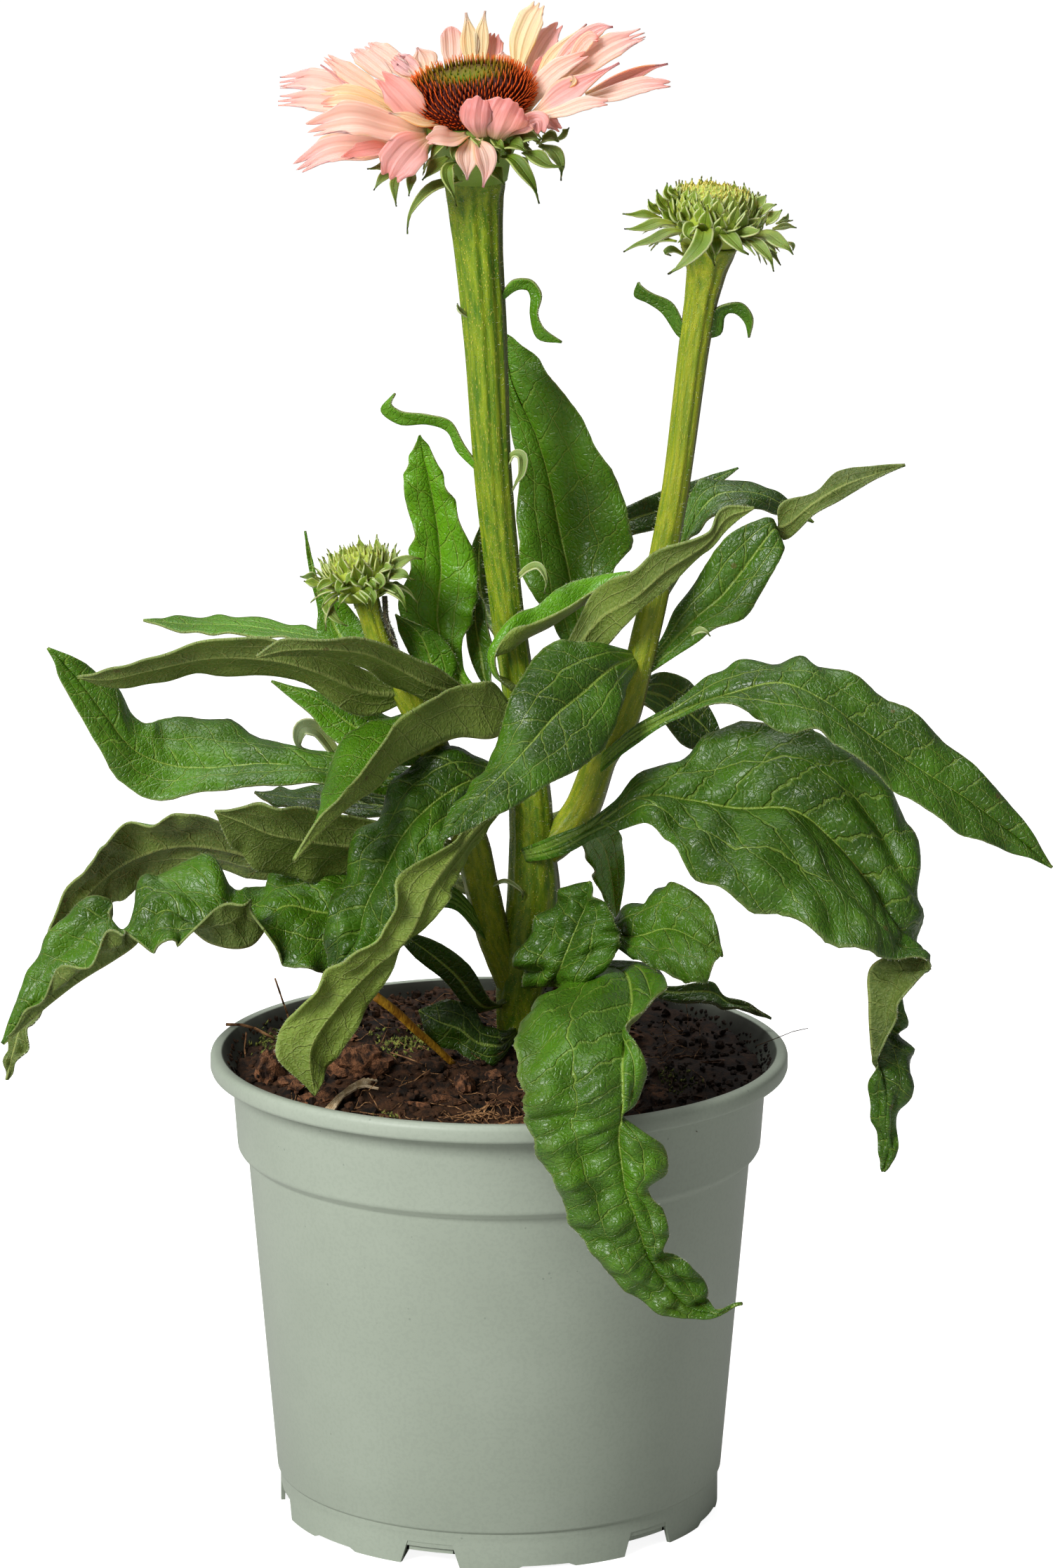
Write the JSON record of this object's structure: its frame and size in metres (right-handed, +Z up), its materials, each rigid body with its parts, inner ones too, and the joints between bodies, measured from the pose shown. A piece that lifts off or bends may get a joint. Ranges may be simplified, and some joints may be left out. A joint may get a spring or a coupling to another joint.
{
  "type": "potted coneflower plant",
  "caption": "Potted coneflower: an open flower with spiny cone and pale salmon rays, two buds, broad drooping leaves on three stems, in a soil-filled nursery pot.",
  "frame": {"origin": "on the pot's axis at the surface it stands on, the middle of the pad under the pot", "axes": "+Z up the pot's axis, -Y towards the front of the plant, +X to the right seen from the front"},
  "size_m": [0.3058, 0.1795, 0.438],
  "materials": {
    "pot_plastic": "matte sage green, finely speckled",
    "peat": "rough moist peat with bark chips",
    "stem": "satin yellow-green, finely hairy",
    "leaf": "satin green with a pale vein net, paler and matte beneath",
    "petal": "soft matte salmon pink",
    "cone": "rusty orange points over a green middle",
    "bract": "matte hairy green"
  },
  "bodies": {
    "root": {"pot": "pot_plastic", "soil": "peat", "stem_main": "stem", "stem_right": "stem", "stem_left": "stem", "leaf_left_back_thin": "leaf", "leaf_left_long": "leaf", "leaf_left_over_stem": "leaf", "leaf_left_yellow": "leaf", "leaf_left_kinked": "leaf", "leaf_left_shaded": "leaf", "leaf_centre_folded": "leaf", "leaf_left_olive": "leaf", "leaf_left_wavy": "leaf", "leaf_left_drooping": "leaf", "leaf_centre_quilted": "leaf", "leaf_centre_tongue": "leaf", "leaf_front_arrow": "leaf", "leaf_right_lance": "leaf", "leaf_front_strap": "leaf", "leaf_upright_left": "leaf", "leaf_small_left": "leaf", "leaf_upright_narrow": "leaf", "leaf_back_dark": "leaf", "leaf_behind_left_bud": "leaf", "leaf_upright_back": "leaf", "leaf_right_arching": "leaf", "leaf_right_twisted": "leaf", "leaf_right_hooked": "leaf", "leaf_back_high": "leaf", "leaf_right_shaded": "leaf", "leaf_right_large": "leaf", "leaf_over_rim": "leaf", "leaf_low_puckered": "leaf", "leaf_low_right": "leaf", "leaf_right_low_back": "leaf", "leaf_back_hanging": "leaf", "leaf_basal": "leaf", "leaf_base_left": "leaf", "leaf_stem_curl_right": "leaf", "leaf_stem_curl_left": "leaf", "leaf_bud_strap_left": "leaf", "leaf_bud_strap_right": "leaf", "flower_cone": "cone", "flower_rays": "petal", "flower_cup": "bract", "bud_right": "bract", "bud_left": "bract"}
  },
  "joints": []
}
